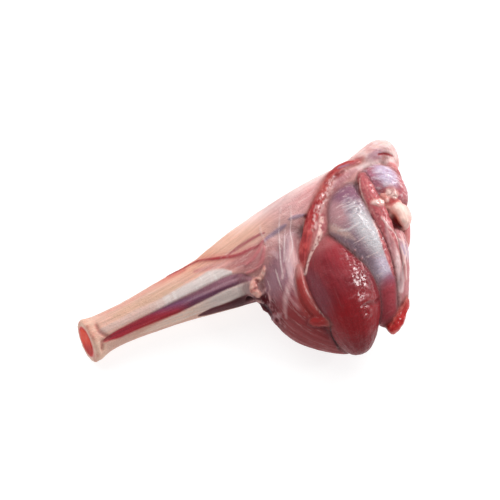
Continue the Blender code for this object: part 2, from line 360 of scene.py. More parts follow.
def on_form(form, spots):
    """Fibre coordinates of the spots, and how far each lies outside the form."""
    share = (1 - np.cos(np.pi * np.linspace(0.0, 1.0, 64))) / 2
    rows, tangent, side, top = spine_frame(form, share)
    middle = rows[:, :3]
    steps = np.linalg.norm(np.diff(middle, axis=0), axis=1)
    lengths = np.r_[0.0, np.cumsum(steps)]
    full = (1 - np.abs(2 * share - 1) ** form["blunt"]) ** (1 / form["blunt"])
    wide = np.maximum(rows[:, 3] * full, 0.5)
    thick = np.maximum(rows[:, 4] * full, 0.5)
    margin = rows[:, 3:].max() + 10.0
    close = ((spots > middle.min(0) - margin) & (spots < middle.max(0) + margin)).all(1)
    away = spots[close][:, None, :] - middle
    forward = (away * tangent).sum(2)
    across = (away * side).sum(2)
    up = (away * top).sum(2)
    reach = np.maximum(np.hypot(across / wide, up / thick), 1e-6)
    gap = np.maximum(np.hypot(across, up) * (1 - 1 / reach), 0.0)
    score = np.hypot(gap, np.maximum(np.abs(forward) - steps.max() / 2, 0.0))
    near = (score + 0.05 * np.abs(forward)).argmin(axis=1)
    pick = (np.arange(len(near)), near)
    angle = np.arctan2((up / thick)[pick], (across / wide)[pick])
    radius = math.sqrt(rows[:, 3].mean() * rows[:, 4].mean())
    fibre = np.zeros((len(spots), 3))
    fibre[close] = np.stack(
        [radius * np.cos(angle), radius * np.sin(angle), lengths[near] + forward[pick]], 1
    )
    distance = np.full(len(spots), FAR)
    distance[close] = np.minimum(score[pick], FAR)
    return fibre, distance


above = on_form(SHEATHED["shaft"], np.array([[50.0, -1.0, 45.0]]))[1][0]
print("a spot above the shaft lies", above.round(1), "mm outside it")

# %% [markdown]
# Each form near a spot gets a share of it that fades with its distance: softly under the sheath, and sharply
# between open muscles. Where the two largest shares are equal there is a seam.

# %% Shares of the forms in each spot
SHEATH_BLEND, OPEN_BLEND = 4.0, 0.9


def shares_of(distances, blend):
    """Shares that fade over the blend's length, in millimetres."""
    raw = np.exp(-np.array(distances) / blend)
    return raw / raw.sum(0)


def blended_fibres(forms, spots):
    fibres, distances = zip(*(on_form(form, spots) for form in forms.values()))
    shares = shares_of(distances, SHEATH_BLEND)
    return sum(f * s[:, None] for f, s in zip(fibres, shares)), distances, shares


spots = spots_of(skin)
under_fibre, under_gap, under_share = blended_fibres(SHEATHED, spots)
open_fibres, open_gaps = zip(*(on_form(form, spots) for form in OPEN_MUSCLES.values()))
shares = shares_of([np.min(under_gap, axis=0), *open_gaps], OPEN_BLEND)
fibre = under_fibre * shares[0][:, None]
fibre += sum(f * s[:, None] for f, s in zip(open_fibres, shares[1:]))
own = {name: share * shares[0] for name, share in zip(SHEATHED, under_share)}
own = SimpleNamespace(**own, **dict(zip(OPEN_MUSCLES, shares[1:])))
slanted = np.stack([spots[:, 1], spots[:, 2] - 0.2 * spots[:, 0], spots[:, 0]], 1)
sheet = (own.silver_muscle + own.knee_muscle)[:, None]
fibre = fibre * (1 - sheet) + slanted * sheet
ordered = np.sort(shares, axis=0)
seam = 1 - np.clip((ordered[-1] - ordered[-2]) / 0.8, 0, 1)
fibre_of = dict(zip(OPEN_MUSCLES, open_fibres))
print({name: int((share > 0.5).sum()) for name, share in vars(own).items()})

# %% [markdown]
# A band follows a line of stations, whose last number is its half width, and a patch is a soft round spot.
# Both are 1 inside and 0 outside. Colours are written as they look on a screen and turned to the linear
# values that a shader needs.

# %% Bands, patches and colours
def ink(code):
    """The linear values of a screen colour such as "#9e282a"."""
    share = np.array(list(bytes.fromhex(code[1:]))) / 255.0
    return np.where(share <= 0.04045, share / 12.92, ((share + 0.055) / 1.055) ** 2.4)


def rise(value, low, high):
    """0 below low and 1 above high, with a soft step between."""
    t = np.clip((value - low) / (high - low), 0.0, 1.0)
    return t * t * (3 - 2 * t)


def band(line, soft=0.35):
    """1 within a line's half width, and falling to 0 over a soft share of it."""
    best = np.full(len(spots), 1e9)
    for x, y, z, half in along(line, np.linspace(0.0, 1.0, 12 * len(line))):
        away = np.sqrt(((spots - (x, y, z)) ** 2).sum(1)) / max(half, 0.1)
        best = np.minimum(best, away)
    return 1 - rise(best, 1 - soft, 1 + soft)


def bands(lines, soft=0.6):
    return np.maximum.reduce([band(line, soft) for line in lines])


def widened(line, times=1.0, more=0.0):
    """A line with another half width."""
    return [(*row[:3], times * row[3] + more) for row in line]


def patch(middle, reach, soft=0.5, at=None):
    away = np.sqrt(((((spots if at is None else at) - middle) / reach) ** 2).sum(1))
    return 1 - rise(away, 1 - soft, 1 + soft)


def plain(tint):
    return np.tile(ink(tint), (len(spots), 1))


def laid(colour, mask, tint, strength=1.0):
    """The colours with a tint laid over them where the mask is."""
    share = (np.clip(mask, 0, 1) * strength)[:, None]
    return colour * (1 - share) + tint * share


def painted(colour, layers):
    """Lays the layers in turn: each has a mask, a tint and, if it isn't full, a strength."""
    for mask, tint, *strength in layers:
        colour = laid(colour, mask, ink(tint), *strength)
    return colour


def keep_values(piece, **values):
    """Stores named values on the vertices, for the materials to read. A plain number goes to all of them."""
    kinds = {"fibre": ("FLOAT_VECTOR", "vector"), "flesh": ("FLOAT_COLOR", "color")}
    for name, value in values.items():
        kind, field = kinds.get(name, ("FLOAT", "value"))
        if name == "flesh":
            value = np.c_[value, np.ones(len(value))]
        elif np.ndim(value) == 0:
            value = np.full(len(spots), value)
        layer = piece.data.attributes.new(name, kind, "POINT")
        layer.data.foreach_set(field, value.astype(np.float32).ravel())


print("brick red in linear values:", ink("#9e282a").round(3))

# %% [markdown]
# Each line is named once and used for relief and for colour: the bright sinew, the wine-dark muscle between
# two tendons, the lower tendon, the thin maroon muscle with a painted shadow of the bulb over it, and the red
# vessel that climbs along the shin.

# %% Lines on the shaft
sinew = band([
    (16, -4, 39, 3), (37, -5, 39.8, 3.4), (58, -6, 42.5, 4.2), (79, -9, 46.1, 4.2), (101, -9.9, 50.8, 4.8),
    (122, -11.9, 55.6, 5.6), (133, -12.4, 58, 6.1), (143, -14.7, 60.2, 4.7), (152, -19.2, 61.8, 1.8),
])
DARK_STRIP = [
    (13, -12.8, 33.3, 1.2), (22, -12.8, 35, 2.9), (32, -13.6, 35.2, 4.6), (54, -15, 37.6, 5.2),
    (74, -17.5, 41.4, 5.8), (95, -20.3, 45.8, 6.8), (116, -22.8, 51, 6.8), (137, -25, 56.3, 6.8),
    (148, -26.5, 58.8, 6.5), (157, -29, 60.4, 5.6), (165, -33.3, 61.7, 2.8),
]
tendon = band([
    (38, -21, 28, 1), (62, -23.4, 31, 3.2), (81, -25.4, 34.3, 4.6), (91, -27.4, 36.3, 5),
    (112, -30.6, 42.5, 5.2), (132, -34, 48.1, 5.9), (142, -35.8, 50.8, 6.3), (152, -37.7, 53.2, 6.2),
    (160, -40.2, 56.5, 6.4),
], 0.22)
shadowed_maroon = band([
    (110, -35, 32, 3), (122, -38, 34.6, 7), (130, -40.6, 36, 7.7), (140, -43.2, 37.8, 8.3),
    (149, -45.8, 39.3, 10), (158, -48.2, 39.8, 11.8),
], 0.25)
RED_VESSEL = [
    (100, 17, 39, 1), (118, 14, 45, 1.4), (130, 12, 50, 1.5), (147, 2, 59, 1.8), (165, -7, 65, 2),
    (179, -9, 67, 1.8), (188, -10, 69, 1.4), (198, -8, 69, 1),
]
blood_top = band([
    (158, -2, 62, 0.8), (166, -1, 64, 1.4), (177, 0, 66, 1.7), (191, 0, 69, 1.5), (200, -1, 70, 0.8),
], 0.5)
pink_under = band([
    (124, 2, 54, 2), (140, -5, 58, 4), (153, -12, 62, 5.5), (167, -19, 65, 7), (180, -20, 67, 7),
], 0.8)
blush = band([
    (24, 14, 35, 2.6), (44, 13, 37, 3.2), (71, 13, 40, 3.8), (93, 14, 42, 4.5), (104, 13, 43, 4),
    (116, 11, 48, 2.5),
], 0.9)
cream_shin = band([(36, 3, 41, 4), (52, 3, 42, 5), (74, 1, 45, 6), (94, -2, 49, 5), (105, -3, 51, 3)], 0.9)
groove = band([
    (15, 5, 40, 1.5), (15, -4, 39, 1.9), (20, -12, 36, 2), (13, -13, 35, 2), (10, -18, 30, 1.4),
], 0.8)
print("the dark strip is", 2 * max(row[3] for row in DARK_STRIP), "mm wide at most")

# %% [markdown]
# Folds and strands cross the place where the shaft meets the lobe. The knife has left a tag of fat there,
# over a crevice, which is painted nearly black as shade.

# %% Lines where shaft and lobe meet
folds = bands([
    [
        (192, -15, 70, 1.4), (189, -19, 69, 1.7), (183, -26, 67, 1.9), (174, -29, 64, 1.6),
        (165, -28, 63, 1.2),
    ],
    [(194, -8, 69, 1.2), (187, -14, 69, 1.6), (178, -19, 67, 1.6), (168, -21, 65, 1.2)],
])
fat_tag = band([
    (183, -31, 65, 1.2), (181, -34, 64, 2), (175, -38, 61, 2.6), (168, -39, 61, 3), (164, -45, 59, 3.4),
    (166, -50, 56, 3),
])
crevice = band([(158, -46, 44, 3), (163, -54, 44, 4), (168, -63, 44, 4), (171, -73, 46, 3)])
STRANDS = [
    [(227, 14, 73), (216, -2, 72), (207, -19, 70), (198, -37, 72), (194, -47, 72)],
    [(236, 10, 74), (229, -3, 73), (222, -14, 69), (217, -27, 71), (204, -41, 72)],
    [(219, -8, 70), (210, -23, 71), (201, -38, 72)],
    [(206, 18, 67), (198, 3, 70), (196, -12, 69)],
]
vein = bands([
    [(196, -9, 69, 1), (200, -7, 69, 1.8), (208, -6, 70, 2.2), (216, -5, 71, 2.2), (222, -4, 71, 1.4)],
    [(228, -1, 73, 1.2), (235, -2, 73, 2), (243, -4, 73, 1.2)],
])
film_folds = bands([
    [
        (230, -15, 70, 2), (223, -31, 72, 2.6), (213, -45, 72, 2.6), (203, -54, 74, 2.2),
        (191, -64, 73, 2.6), (181, -75, 68, 2.4), (176, -86, 60, 1.4),
    ],
    [(227, -8, 71, 0.9), (217, -24, 70, 1.4), (203, -40, 71, 1.6), (191, -52, 71, 1.4)],
    [(204, -56, 75, 1), (198, -65, 75, 1.6), (193, -79, 74, 1.8), (193, -93, 70, 1.2)],
], 0.9)
pale_film = band([
    (236, -8, 71, 3), (229, -18, 70, 4.4), (219, -30, 70, 5), (211, -46, 73, 4.2), (208, -60, 76, 2),
], 0.7)
lobe_red = band([
    (209, -52, 75, 1.2), (204, -62, 76, 2.8), (199, -74, 76, 4.2), (196, -86, 74, 5.5), (197, -98, 72, 6),
    (203, -106, 70, 4.5),
], 0.45)
lobe_edge = band([
    (211, -53, 74, 0.5), (205, -70, 78, 0.6), (203, -82, 77, 0.6), (203, -94, 75, 0.6),
    (206, -107, 73, 0.5),
], 0.6)
calf_left = band([(214, -58, 76, 3), (211, -72, 77, 5), (210, -88, 77, 6), (211, -102, 75, 6)], 0.5)
flank = band([
    (256, -64, 83, 7), (256, -77, 86, 10), (254, -89, 88, 12), (251, -100, 88, 12.5),
    (245, -110, 88, 11.5), (242, -119, 85, 9), (241, -127, 80, 6),
], 0.8)
crack_shade = band([(209, -114, 72, 0.9), (206, -121, 58, 1.1), (208, -131, 46, 1.1), (209, -137, 34, 1)], 0.6)
print(len(STRANDS), "strands; the fat tag covers", int((fat_tag > 0.5).sum()), "vertices")

# %% [markdown]
# On the bulb the lines follow the cut edges: the fat along the rim, the arm of film that crosses to the knee,
# the slip of fat bits beside the bone, and the folds of film on the silver muscle.

# %% Lines on the bulb
rim_fat = band([
    (255, -17, 77, 2), (248, -28, 77, 2.4), (237, -38, 77, 2.4), (224, -47, 77, 2.1), (212, -60, 75, 1.7),
], 0.4)
rim_grain = band([
    (307, 19, 73, 3), (289, 14, 75, 4.5), (275, 6, 77, 4.8), (263, -3, 77, 4.5), (251, -13, 78, 3.5),
    (242, -24, 77, 2.5),
])
rim_blood = band([(302, 19, 73, 2.2), (296, 17, 74, 3), (290, 16, 75, 2)], 0.6)
film_arm = band([(286, 8, 76, 3), (295, 11, 75, 3.5), (306, 14, 72, 3), (316, 15, 71, 2)], 0.7)
grey_line = band([(298, 24, 74, 0.6), (304, 24, 74, 1.2), (311, 23, 73, 1.2), (320, 23, 71, 0.8)], 0.6)
rim_tip = band([(314, 24, 71, 3.5), (322, 24, 70, 3.5), (329, 24, 69, 2.5)], 0.7)
strip_low = band([
    (306, -34, 79, 4), (300, -54, 80, 4.5), (295, -70, 79, 4.5), (291, -86, 75, 4), (288, -99, 69, 3),
], 0.3)
side_pale = band([
    (305, -54, 79, 1), (302, -66, 78, 2.5), (300, -78, 76, 3.5), (297, -92, 71, 4), (294, -104, 66, 4),
    (288, -115, 61, 3),
], 0.4)
right_red = band([
    (352, -2, 64, 4), (349, -17, 70, 5), (345, -29, 69, 5), (343, -40, 62, 5), (336, -52, 66, 3),
], 0.8)
FAT_BITS = [
    (308, -28, 80, 2.2), (312, -31, 80, 3), (318, -31, 78, 3.2), (325, -28, 73, 3), (330, -24, 74, 3.6),
    (334, -27, 72, 3),
]
cap_highlight = band([
    (322, 31, 67, 2.5), (330, 32, 69, 4), (343, 33, 70, 4.5), (354, 30, 71, 4.5), (360, 22, 69, 3.5),
], 0.9)
LUMPS = [(308, -29, 81), (315, -31, 79), (323, -30, 74), (329, -24, 75), (333, -29, 73)]
arch = band([
    (318, 16, 71, 2), (330, 16, 68, 3.2), (341, 14, 64, 3.4), (351, 10, 62, 3.4), (356, 2, 55, 3),
], 0.8)
BONE_HOLLOW = [(317, -38, 70, 1.5), (315, -46, 74, 3), (317, -53, 67, 3.8), (319, -59, 64, 3)]
slit = band([(344, 20, 70, 0.9), (352, 17, 68, 1.5), (358, 12, 66, 0.9)], 0.6)
silver_cream = band([(254, -27, 76, 4), (260, -35, 79, 3.6), (265, -45, 83, 3), (270, -56, 83, 1.5)], 0.7)
silver_fold = band([(260, -38, 81, 1), (269, -44, 85, 1.5), (281, -43, 86, 1)], 0.6)
# Painted shade along the silver muscle's lower side, beside the calf.
silver_painted_shade = band([(266, -51, 83, 3), (269, -70, 82, 4), (272, -84, 79, 4.5), (270, -100, 73, 4)], 0.8)
strip_edge = band([
    (311, 3, 76, 0.8), (304, -12, 77, 0.9), (300, -30, 79, 1), (295, -54, 80, 1), (290, -72, 79, 1),
    (287, -90, 74, 0.8),
], 0.6)
side_lines = bands([
    [(309, -57, 78, 0.7), (309, -75, 73, 1.1), (306, -92, 68, 1.1), (299, -108, 61, 0.8)],
    [(316, -66, 68, 0.8), (313, -80, 68, 1.3), (309, -96, 62, 1)],
    [(306, -46, 80, 0.7), (307, -59, 79, 1.2), (311, -71, 71, 1.2), (316, -77, 65, 0.8)],
    [(317, -72, 66, 0.7), (318, -78, 60, 1.1), (308, -89, 67, 1.1), (299, -98, 68, 0.8)],
])
calf_folds_and_highlight = bands([
    [(262, -55, 81, 0.8), (256, -63, 84, 1.3), (252, -70, 87, 0.8)],
    [(266, -63, 80, 0.8), (260, -70, 84, 1.4), (255, -78, 87, 0.8)],
    [(268, -73, 79, 0.8), (263, -79, 82, 1.3), (258, -88, 86, 0.8)],
], 0.5)
trim_edge_highlight = band([
    (290, -124, 55, 0.7), (282, -129, 54, 1), (274, -133, 52, 1), (266, -137, 51, 1), (260, -141, 47, 0.8),
], 0.6)
calf_split = band([
    (263, -116, 68, 1.2), (256, -118, 74, 2.6), (246, -119, 82, 2.4), (238, -118, 86, 1),
], 0.8)
print(len(LUMPS), "lumps of fat; the calf's folds cover", int((calf_folds_and_highlight > 0.5).sum()), "vertices")

# %% [markdown]
# Broad random swellings come first, then fine ridges along the fibres, then the named lines: tendons stand
# up a little, the dark muscle lies lower, and the crevice is a real hollow. The sawn face stays flat.

# %% Relief of the shaft and the film
def lumpy():
    """1 on each small lump of fat beside the bone, with uneven edges."""
    uneven = spots + 1.7 * np.stack([grain(spots / 3.4, seed) for seed in (61, 62, 63)], 1)
    return np.maximum.reduce([patch(spot, 3.0, 0.4, uneven) for spot in LUMPS])


x, y, z = spots.T
dark = band(DARK_STRIP, 0.22)
vessel = band(RED_VESSEL, 0.6)
strand_line = bands([[(*spot, 0.9) for spot in strand] for strand in STRANDS], 0.8)
collar = 1 - rise(x, 9.0, 17.0)

relief = 0.45 * cloudy(spots, 22.0, 1) + 0.16 * cloudy(spots, 5.0, 7)
relief += 0.16 * grain(fibre / (2.2, 2.2, 26.0), 3) * (1 - collar)
relief += 0.5 * sinew - 0.8 * dark + 0.6 * tendon - 0.6 * shadowed_maroon
relief += 0.8 * vessel + 1.3 * folds + 0.35 * strand_line + 0.6 * vein
relief += 1.8 * fat_tag * (1 + 1.4 * cloudy(spots, 3.8, 11)) - 3.0 * crevice
relief += collar * (0.5 + 1.3 * cloudy(spots, 6.0, 13)) - 1.8 * groove
saw_face = 1 - rise((spots - SAW_POINT) @ SAW_NORMAL, 0.4, 1.8)
relief *= 1 - saw_face
print("relief of the shaft from", relief.min().round(2), "to", relief.max().round(2), "mm")

# %% [markdown]
# The calf is plump, with short wrinkles in the film on its right flank. The silver muscle is puckered where
# it goes under the knee. Cut edges are rough, like torn rope.

# %% Relief of the open muscles
flank *= own.calf
knee_sheet = own.knee_muscle + 0.7 * own.knee_fat
radiate = np.stack([y + 0.75 * x, z, 0.75 * y - x], 1)
knee_streaks = grain(radiate / (1.7, 2.5, 9.0), 49)
wrinkles = grain(spots / (6.5, 2.2, 3.0), 43) + 0.9 * grain(spots / (3.2, 1.5, 1.8), 44)
puckers = patch((288, -24, 82), (12, 11, 10)) * own.silver_muscle
ragged = patch((169, -64, 47), (13, 24, 15))
rope = grain(fibre_of["cut_rim"] / (1.8, 1.8, 5.0), 51) * own.cut_rim
torn = own.cut_strip + strip_low + rim_grain + 0.7 * rim_fat + 0.5 * own.side_muscle + 0.6 * own.rim_bed
ragged_noise = cloudy(spots, 5.0, 55)
bit_noise = cloudy(spots, 3.6, 39)
streaks = grain(fibre / (2.6, 2.6, 34.0), 25)
pucker_lines = grain(slanted / (1.6, 1.6, 9.0), 47)
fat_bits = band(widened(FAT_BITS, more=1.2), 0.4)
lumps = lumpy()
silver_fold = np.maximum(silver_fold, strip_edge)

relief += 0.5 * flank * wrinkles + 1.6 * calf_folds_and_highlight - 1.6 * calf_split
relief += 0.35 * own.outer_lobe * streaks
relief += 0.25 * own.calf * cloudy(spots, 6.0, 45) + 0.35 * knee_sheet * knee_streaks
relief += 0.8 * puckers * pucker_lines + 0.6 * silver_fold
relief += 2.2 * own.trim_strip * cloudy(spots, 8.0, 57) + 0.3 * trim_edge_highlight
relief += 0.7 * np.clip(torn, 0, 1) * cloudy(spots, 3.0, 37) + 0.7 * side_lines
relief += 2.0 * ragged * ragged_noise + 0.45 * rope
relief += fat_bits * (0.4 + 1.2 * bit_noise) + 1.1 * lumps - slit
relief -= 0.5 * seam * (1 - own.rim_bed)
pushed_out(skin, relief)
print("relief reaches", np.abs(relief).max().round(2), "mm")

# %% [markdown]
# Colour goes on in layers, as the tissue does. On the shaft, pale fat and sinew with a peach blush come
# first, then the dark strip and the tendons.

# %% Colours of the shaft
tone = cloudy(spots, 30.0, 21)
mottle = cloudy(spots, 7.0, 23)
lines = grain(fibre / (1.6, 1.6, 60.0), 27)
strip_line = np.array(DARK_STRIP)
strip_up = 0.6 * y + 0.8 * z - np.interp(x, strip_line[:, 0], 0.6 * strip_line[:, 1] + 0.8 * strip_line[:, 2])
strip_hue = painted(plain("#ac2e3c"), [
    (rise(-strip_up, 2, 4), "#ac282a", 0.7),
    (rise(x + 5 * strip_up, 64, 122), "#7a5274"),
    (rise(x + 5 * strip_up, 104, 134), "#9e6c7c"),
    (rise(-strip_up, 0, 2.5) * rise(x, 88, 108), "#62364c", 0.9),
    ((1 - rise(abs(strip_up - 0.8), 0.3, 1.3)) * rise(x, 92, 108), "#bc96a0", 0.5),
    (rise(lines, 0.1, 0.6), "#a88490", 0.35),
    (rise(-lines, 0.1, 0.6), "#541e32", 0.35),
])
shin_top = rise(y + 0.35 * z, 14, 34) * rise(x, 60, 110) * (1 - rise(x, 190, 240))
flesh = painted(plain("#dab0a0"), [
    (rise(tone, -0.3, 0.8), "#d69c86", 0.5),
    (rise(-y, 8, 26), "#d0a494", 0.8),
    (shin_top, "#d69478", 0.8),
    (shin_top * rise(x, 136, 160), "#e2b6a4", 0.7),
    (cream_shin, "#d0a88e", 0.6),
    (blush * (0.4 + 0.6 * rise(x, 80, 108)), "#ca5c56", 0.7),
    (own.shin_muscle * rise(x, 185, 230), "#d2a0a0", 0.9),
    (pink_under, "#c27e7c", 0.8),
    (pink_under * rise(lines, 0.1, 0.5), "#deb0a8", 0.6),
    (own.shin_muscle * rise(x, 232, 262), "#c27c7e", 0.6),
    (own.shin_muscle * rise(x, 165, 200) * rise(y - 0.08 * (x - 180), 6, 22), "#ecd2ce", 0.8),
    (sinew, "#d8b6ac", 0.9),
    (sinew * rise(x, 60, 104), "#d8cac6", 0.95),
    (sinew * rise(x, 66, 100) * rise(grain(spots / (1.6, 8, 8), 29), 0.2, 0.6), "#e8deda", 0.6),
])
flesh = laid(flesh, dark, strip_hue)
flesh = painted(flesh, [
    (tendon, "#e2c0b0"),
    (tendon * rise(x, 98, 132), "#cebcb6"),
    (tendon * rise(lines, 0, 0.5), "#d6c4bc", 0.6),
    # Painted shadow: the maroon muscle under the shaft is painted dark as the bulb's shade, darkest towards
    # the bulb.
    (shadowed_maroon, "#541a24"),
    (shadowed_maroon * rise(x, 128, 152), "#400a14", 0.9),
    (band(widened(RED_VESSEL, 2.4), 0.9), "#c8706e", 0.5),
    (vessel, "#981a2c", 0.9),
    (blood_top, "#9e3c4c", 0.8),
    (collar, "#dcac98", 0.8),
    (collar * rise(mottle, 0, 0.5), "#e2beaa", 0.8),
    (collar * rise(-mottle, 0.1, 0.5), "#c8786c", 0.5),
    (groove, "#aa5c58", 0.6),
])
print("shaft painted")

# %% [markdown]
# Over the outer lobe lies a lilac film with pale folds and two blue veins. Lower down the film thins and the
# muscle shows brown red, then bright red beside the calf.

# %% Colours of the lobe
lobe = own.outer_lobe * (1 - rise(y, 22, 32))
low = rise(-y + 0.3 * (60 - z), 46, 84)
wide_streaks = grain(fibre / (6.0, 6.0, 50.0), 26)
film_folds *= lobe
near_shaft = rise(x, 150, 168) * (1 - rise(x, 194, 214))
flesh = painted(flesh, [
    (own.under_muscle * rise(x, 150, 215), "#8a4e50", 0.9),
    (own.deep_core, "#864244", 0.9),
    (own.outer_lobe * rise(y, 18, 30), "#ce9a96", 0.9),
    (own.junction_fat, "#966c70", 0.9),
    (lobe * 1.5, "#926c76"),
    (near_shaft * own.shaft * rise(-y, -4, 14), "#9e5c60", 0.85),
    (lobe * rise(wide_streaks, -0.1, 0.6), "#ac7a7c", 0.6),
    (lobe * rise(streaks, 0.1, 0.5), "#dababc", 0.55),
    (lobe * rise(-streaks, 0.2, 0.6), "#704a56", 0.5),
    (lobe * rise(x, 226, 244), "#b46c6c", 0.6),
    (lobe * low, "#862e30", 0.95),
    (lobe * low * rise(streaks, 0, 0.6), "#984c4e", 0.6),
    (patch((189, -79, 72), (7, 9, 8)) * rise(streaks, -0.4, 0.3), "#ba8486", 0.7),
    (lobe * low * rise(wide_streaks, 0.1, 0.6), "#986064", 0.3),
    (pale_film, "#c48e8e", 0.9),
    (pale_film * rise(streaks, 0, 0.3), "#dab6b4", 0.6),
    (film_folds, "#cea0a0", 0.5),
    (film_folds * rise(lines, -0.1, 0.4) * (1 - low), "#e2c6c4", 0.5),
    (folds, "#b8686c", 0.7),
    (calf_left, "#762e36"),
    (own.lobe_rim, "#a84c4a"),
    (lobe_red, "#983534"),
    (own.small_flap, "#962a2b"),
    (ragged * rise(-ragged_noise, -0.2, 0.2), "#58121c"),
    (ragged * rise(ragged_noise, 0.1, 0.4), "#ce9692", 0.9),
    (ragged * rise(-y, 58, 70) * rise(ragged_noise, 0, 0.4), "#786270", 0.6),
    (fat_tag, "#ce8a80"),
    (fat_tag * rise(ragged_noise, -0.1, 0.4), "#e4b6a8", 0.8),
    (fat_tag * rise(-ragged_noise, 0.1, 0.5), "#702e30", 0.7),
    # Painted shade: the crevice is painted nearly black.
    (crevice, "#3a1018", 0.95),
    (crevice * rise(mottle, 0.1, 0.5), "#785660", 0.8),
    (vein, "#7a6e88", 0.65),
    (strand_line, "#d6bebc", 0.5),
])
print("lobe painted")

# %% [markdown]
# The calf is deep red, with a milky film on its left side. The silver muscle's tight sheath goes from purple
# through white to lilac, and ends in bare dark muscle.

# %% Colours of the calf and the silver muscle
calf = own.calf
silver = own.silver_muscle
calf_grain = grain(fibre_of["calf"] / (3.0, 3.0, 30.0), 53)
silver_low = silver * rise(-y, 96, 112)
flesh = painted(flesh, [
    (calf, "#761c24"),
    (calf * rise(tone, -0.2, 0.7), "#641c26", 0.5),
    (calf * rise(calf_grain, 0, 0.7), "#8a3037", 0.5),
    (calf * patch((249, -62, 88), (14, 28, 16)), "#8e2830", 0.7),
    (calf * patch((210, -80, 76), (10, 32, 22)), "#7a3e48", 0.7),
    (calf * patch((240, -40, 78), (26, 12, 14)), "#9e585a", 0.7),
    (calf * rise(cloudy(spots, 14, 59), 0.1, 0.6), "#923e44", 0.4),
    (calf * patch((232, -124, 80), (26, 22, 26)), "#8e121a", 0.8),
    (calf * rise(-y, 138, 162), "#88282c", 0.5),
    # The crests of the flank's wrinkles are painted pale: partly film bunched up white, partly a painted
    # highlight on the wet wrinkles.
    (flank * rise(wrinkles, 0.3, 1.1), "#c4848a", 0.6),
    (silver, "#8c707a"),
    (silver * patch((288, -4, 80), (18, 15, 16)), "#7a4860", 0.8),
    (silver * patch((267, -22, 80), (12, 16, 14)), "#b8868a", 0.8),
    (silver * patch((287, -54, 84), (12, 34, 12)), "#b2acb0", 0.95),
    (silver * patch((282, -92, 78), (11, 11, 14)), "#bcacbc", 0.85),
    (silver * patch((283, -105, 70), (9, 7, 10)), "#86526a", 0.8),
    (silver_cream * silver, "#ceaaa2", 0.85),
    # Painted shade: grey along the silver muscle's lower side.
    (silver_painted_shade * silver, "#746470", 0.5),
    (puckers * rise(-pucker_lines, 0.1, 0.5), "#62465c", 0.6),
    (puckers * rise(pucker_lines, 0.1, 0.5), "#d4c0c6", 0.5),
    (silver_low, "#9a323c", 0.95),
    (silver_fold, "#cec0c0", 0.6),
    # Painted shade in the groove where the calf splits into two lobes.
    (calf_split, "#5c0e16", 0.6),
])
print("calf and silver muscle painted")

# %% [markdown]
# Cut edges are brick red, with pale grains of fat along the rim's inner side that lower down become a cream
# line. The strips beside the silver muscle are salmon, with pale edges.

# %% Colours of the strips and the rim
rim = own.cut_rim
strip = np.clip(own.cut_strip * (1 - side_pale) + strip_low, 0, 1)
side = own.side_muscle
side_grain = grain(fibre_of["side_muscle"] / (3.0, 3.0, 50.0), 67)
grains = cloudy(spots, 2.4, 73)
trim_facet_shading = cloudy(spots, 9.0, 57)
flesh = painted(flesh, [
    (rim, "#9e282a"),
    (rim * rise(-y, 8, 28), "#b84846", 0.8),
    # Painted highlight and shade: the rim is paler on the ridges of its rope relief and darker in its
    # grooves.
    (rim * rise(rope, 0.2, 0.7), "#c86866", 0.6),
    (rim * rise(-rope, 0.2, 0.7), "#76161e", 0.6),
    (rim * rise(mottle, 0, 0.6), "#8c262c", 0.6),
    (own.rim_bed, "#b06a6c"),
    (own.rim_bed * rise(-grains, 0, 0.4), "#96464c", 0.6),
    (rim_grain * rise(grains, -0.15, 0.25), "#d4a6a4", 0.85),
    (rim_fat * rise(grains, -0.5, 0.1), "#e4beb6", 0.9),
    (rim_blood, "#8c1822", 0.8),
    (film_arm, "#ac747c", 0.7),
    (grey_line, "#92687a", 0.85),
    (patch((244, -6, 73), (2.4, 2.4, 2.4)), "#600e18", 0.9),
    (own.lobe_rim * rise(y, -66, -52), "#b2807c", 0.7),
    (strip, "#b25a5e"),
    (strip * rise(grains, 0, 0.4), "#8e424a", 0.6),
    (strip * rise(-grains, 0.15, 0.5), "#c88884", 0.6),
    (side, "#b47478"),
    (side * rise(side_grain, 0.25, 0.6), "#cea4a0", 0.8),
    (side * rise(-side_grain, 0.2, 0.6), "#8c3e48", 0.6),
    (patch((312, -83, 66), (6, 9, 8)) * side, "#b09cae", 0.8),
    (side_pale, "#be8a8e", 0.9),
    (side_pale * rise(side_grain, 0, 0.4), "#debebe", 0.8),
    (side_pale * rise(-side_grain, 0.1, 0.5), "#964c54", 0.5),
    (side_lines, "#e0c2be", 0.85),
    (lobe_edge, "#d8b0ac", 0.75),
    (own.trim_strip, "#b41e20"),
    # Painted light and shade: the trim is darker where its relief is low and lighter where it is raised, like
    # lit and shaded facets.
    (own.trim_strip * rise(-trim_facet_shading, 0, 0.4), "#96141a", 0.8),
    (own.trim_strip * rise(trim_facet_shading, 0.2, 0.5), "#d4544a", 0.6),
    # Painted highlight: a pale line along the trim's edges.
    (trim_edge_highlight, "#e2786c", 0.4),
])
print("strips and rim painted")
